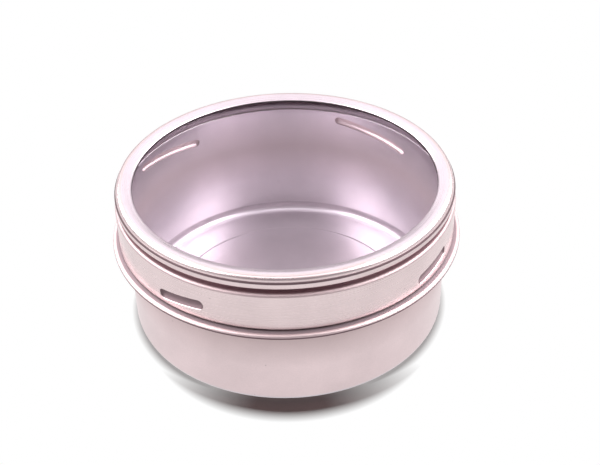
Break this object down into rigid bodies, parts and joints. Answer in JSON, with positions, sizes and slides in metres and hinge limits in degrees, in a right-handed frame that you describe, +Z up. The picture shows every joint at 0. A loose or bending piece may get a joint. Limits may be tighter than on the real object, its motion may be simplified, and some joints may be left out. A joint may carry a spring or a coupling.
{
  "type": "window lid tin",
  "caption": "Round tinplate tin with a twist-off lid, a clear round window held in a crowned ring, and a folded stop bead round the wall.",
  "frame": {"origin": "centre of the base on the surface that the tin stands on", "axes": "+Z up along the tin's axis, front towards -Y, as the picture's near side"},
  "size_m": [0.068, 0.068, 0.0301],
  "materials": {
    "body_tinplate": "satin tin-plated steel, drawn, with fine circular drawing marks",
    "lid_tinplate": "satin tin-plated steel, pressed, smoother than the body",
    "clear_window": "clear polished sheet"
  },
  "bodies": {
    "tin_body": {"tin_body": "body_tinplate"},
    "window": {"window": "clear_window"},
    "lid_shell": {"lid_shell": "lid_tinplate"}
  },
  "joints": [
    {"name": "lid_lift", "type": "slide", "parent": "tin_body", "child": "window", "axis": [0, 0, 1], "range_m": [0, 0.026]},
    {"name": "lid_turn", "type": "hinge", "parent": "window", "child": "lid_shell", "pos_m": [0, 0, 0.0191], "axis": [0, 0, 1], "range_deg": [0, 360]}
  ],
  "couplings": [
    {"joint": "lid_lift", "follows": "lid_turn", "m_per_rad": 0.004138}
  ]
}
